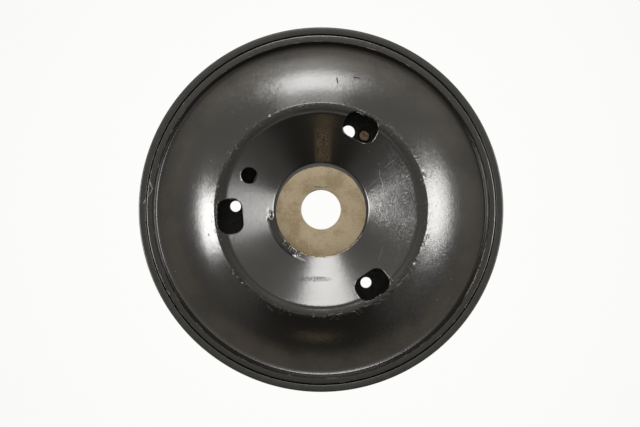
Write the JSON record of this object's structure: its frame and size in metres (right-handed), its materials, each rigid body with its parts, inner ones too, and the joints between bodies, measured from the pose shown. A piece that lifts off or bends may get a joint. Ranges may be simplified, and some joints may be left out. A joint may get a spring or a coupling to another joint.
{
  "type": "damper flywheel",
  "caption": "Dished crank-nose damper flywheel with a grooved belt ring on a twisting rubber isolator, a hidden inertia ring on rubber, a funnel down to the bolt seat, and pockets in it.",
  "frame": {"origin": "on the spin axis at the hub's rear face", "axes": "+Z along the spin axis towards the bolt side; +X and +Y across the disc, with the first pocket 64.3 degrees round from +X"},
  "size_m": [0.16, 0.16, 0.0406],
  "materials": {
    "black_paint": "gloss",
    "bare_steel": "satin",
    "rear_paint": "satin",
    "rivet_steel": "satin",
    "dowel_steel": "satin",
    "sleeve_steel": "satin",
    "isolator_rubber": "matte",
    "ring_coating": "matte",
    "slide_plastic": "matte",
    "zinc_steel": "satin",
    "damper_rubber": "matte",
    "ring_iron": "matte"
  },
  "bodies": {
    "hub": {"front_casting": "black_paint", "hub_sleeve": "bare_steel", "rear_plate": "rear_paint", "plate_rivets": "rivet_steel", "locating_dowel": "dowel_steel", "isolator_inner_sleeve": "sleeve_steel", "isolator_rubber": "isolator_rubber", "front_thrust_ring": "slide_plastic", "slide_bush": "slide_plastic", "retaining_ring": "zinc_steel", "damper_rubber": "damper_rubber"},
    "belt_ring": {"belt_ring": "ring_coating", "isolator_outer_sleeve": "sleeve_steel"},
    "inertia_ring": {"inertia_ring": "ring_iron"}
  },
  "joints": [
    {"name": "belt_ring_twist", "type": "hinge", "parent": "hub", "child": "belt_ring", "pos_m": [0, 0, 0.0196], "axis": [0, 0, 1], "range_deg": [-2.5, 2.5], "stiffness_Nm_per_rad": 180},
    {"name": "inertia_ring_twist", "type": "hinge", "parent": "hub", "child": "inertia_ring", "pos_m": [0, 0, 0.01875], "axis": [0, 0, 1], "range_deg": [-1.5, 1.5], "stiffness_Nm_per_rad": 120}
  ]
}
